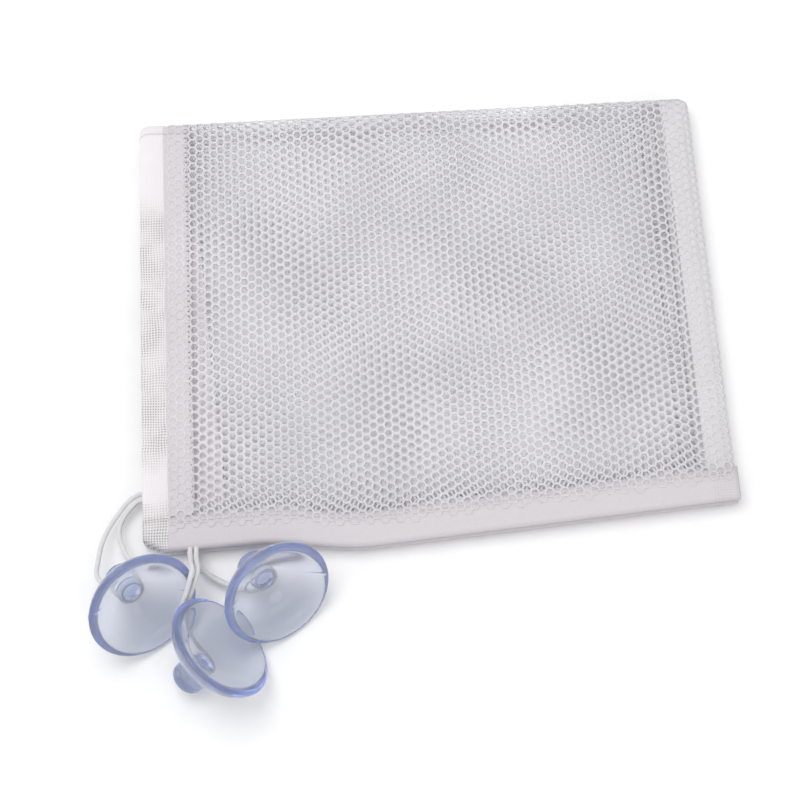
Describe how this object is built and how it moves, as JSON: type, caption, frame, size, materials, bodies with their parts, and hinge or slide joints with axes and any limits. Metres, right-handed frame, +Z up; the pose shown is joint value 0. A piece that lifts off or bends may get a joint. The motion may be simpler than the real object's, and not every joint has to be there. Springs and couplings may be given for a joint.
{
  "type": "bath toy organizer",
  "caption": "White net bag with a hemmed mouth, folded in half, with clear suction cups on cord loops at its mouth; hangs on a bathroom wall, holds bath toys and lets them drain.",
  "frame": {"origin": "on the table under the middle of the folded bag and its cups", "axes": "+X from the bag's open mouth to its closed bottom, +Y towards the fold, +Z up from the table"},
  "size_m": [0.3235, 0.3194, 0.0484],
  "materials": {
    "net": "white polyester hexagon net",
    "tape": "fine woven polyester tape",
    "cord": "white braided cord",
    "cup_pvc": "clear soft PVC with a blue tint"
  },
  "bodies": {
    "bag_lower": {"lower_outer_net": "net", "lower_inner_net": "net", "lower_bottom_fold": "net", "lower_fold_edge": "net", "lower_outer_mouth_tape": "tape", "lower_inner_mouth_tape": "tape", "lower_side_binding": "tape", "cord_loop_1": "cord"},
    "bag_upper": {"upper_outer_net": "net", "upper_inner_net": "net", "upper_bottom_fold": "net", "upper_fold_edge": "net", "upper_outer_mouth_tape": "tape", "upper_inner_mouth_tape": "tape", "upper_side_binding": "tape"},
    "corner_loops": {"cord_loop_2": "cord", "cord_loop_3": "cord"},
    "cup_1": {"suction_cup_1": "cup_pvc"},
    "cup_2": {"suction_cup_2": "cup_pvc"},
    "cup_3": {"suction_cup_3": "cup_pvc"}
  },
  "joints": [
    {"name": "bag_unfold", "type": "hinge", "parent": "bag_lower", "child": "bag_upper", "pos_m": [0, 0.15975, 0.0066], "axis": [-1, 0, 0], "range_deg": [0, 180]},
    {"name": "loops_turn", "type": "hinge", "parent": "bag_upper", "child": "corner_loops", "pos_m": [-0.1139, -0.08195, 0.0066], "axis": [0, -1, 0], "range_deg": [0, 180]},
    {"name": "cup_1_swivel", "type": "hinge", "parent": "bag_lower", "child": "cup_1", "pos_m": [-0.13612, -0.11275, 0.02494], "axis": [0.4906, -0.6802, 0.5446], "continuous": true},
    {"name": "cup_2_swivel", "type": "hinge", "parent": "corner_loops", "child": "cup_2", "pos_m": [-0.09882, -0.13355, 0.02422], "axis": [0.6762, 0.4047, 0.6157], "continuous": true},
    {"name": "cup_3_swivel", "type": "hinge", "parent": "corner_loops", "child": "cup_3", "pos_m": [-0.07112, -0.11055, 0.02494], "axis": [0.469, -0.6953, 0.5446], "continuous": true}
  ],
  "couplings": [
    {"joint": "loops_turn", "follows": "bag_unfold", "ratio": 1}
  ]
}
